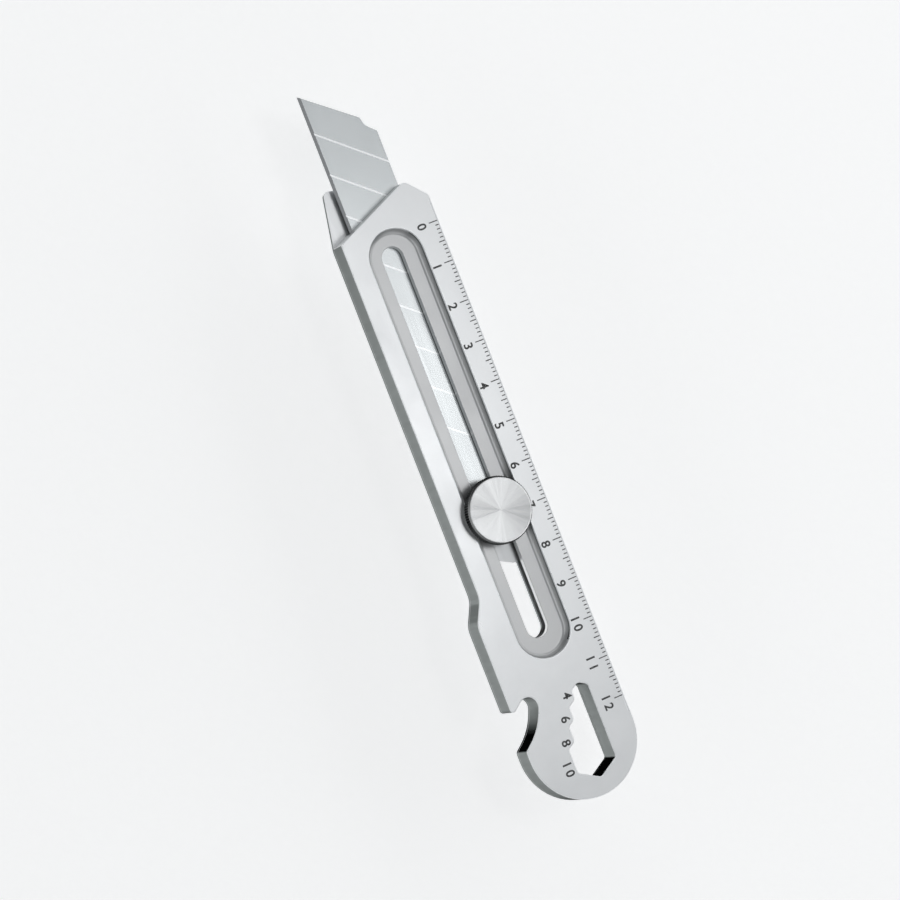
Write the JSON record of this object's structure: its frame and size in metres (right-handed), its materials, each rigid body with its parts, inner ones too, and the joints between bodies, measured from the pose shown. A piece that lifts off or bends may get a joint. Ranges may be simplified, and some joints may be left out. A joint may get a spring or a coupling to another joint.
{
  "type": "snap off knife",
  "caption": "Flat metal snap-off knife: scored blade on a slotted carriage with a knurled clamp knob, ruler edge, stepped hex wrench and bottle opener.",
  "frame": {"origin": "under the middle of the whole knife's box, on the plane of the back face, with the blade out as pictured", "axes": "+X towards the ruler edge, +Y towards the blade's tip, +Z out of the front face, where the knob is"},
  "size_m": [0.0282, 0.1786, 0.0107],
  "materials": {
    "body_steel": "satin, bead-blasted stainless steel with polished edges; dark engraved ruler marks and numerals",
    "blade_steel": "smooth rolled carbon steel with a ground edge and pressed score lines",
    "knob_steel": "turned top with a concentric machining grain, bright rim and knurled side",
    "plate_steel": "plain rolled steel sheet",
    "fastener_steel": "plain machined steel",
    "nut_brass": "machined brass"
  },
  "bodies": {
    "body": {"front_shell": "body_steel", "rear_plate": "body_steel", "rear_screw_1": "fastener_steel", "rear_screw_2": "fastener_steel", "rear_screw_3": "fastener_steel", "rear_screw_4": "fastener_steel", "rear_screw_5": "fastener_steel", "rear_screw_6": "fastener_steel", "rear_screw_7": "fastener_steel", "rear_screw_8": "fastener_steel"},
    "carriage": {"blade": "blade_steel", "blade_carrier": "plate_steel", "blade_pin": "fastener_steel", "clamp_nut": "nut_brass", "nut_rivet_1": "fastener_steel", "nut_rivet_2": "fastener_steel", "flat_washer": "plate_steel"},
    "knob_lift": {"wave_washer": "plate_steel"},
    "knob": {"lock_knob": "knob_steel", "clamp_screw": "fastener_steel"}
  },
  "joints": [
    {"name": "carriage_slide", "type": "slide", "parent": "body", "child": "carriage", "axis": [0, 1, 0], "range_m": [-0.0289, 0.0641]},
    {"name": "knob_rise", "type": "slide", "parent": "carriage", "child": "knob_lift", "axis": [0, 0, 1], "range_m": [0, 0.00105]},
    {"name": "knob_turn", "type": "hinge", "parent": "knob_lift", "child": "knob", "pos_m": [0.00065, -0.01787, 0.0075], "axis": [0, 0, 1], "range_deg": [0, 720]}
  ],
  "couplings": [
    {"joint": "knob_rise", "follows": "knob_turn", "m_per_rad": 0.000079577}
  ]
}
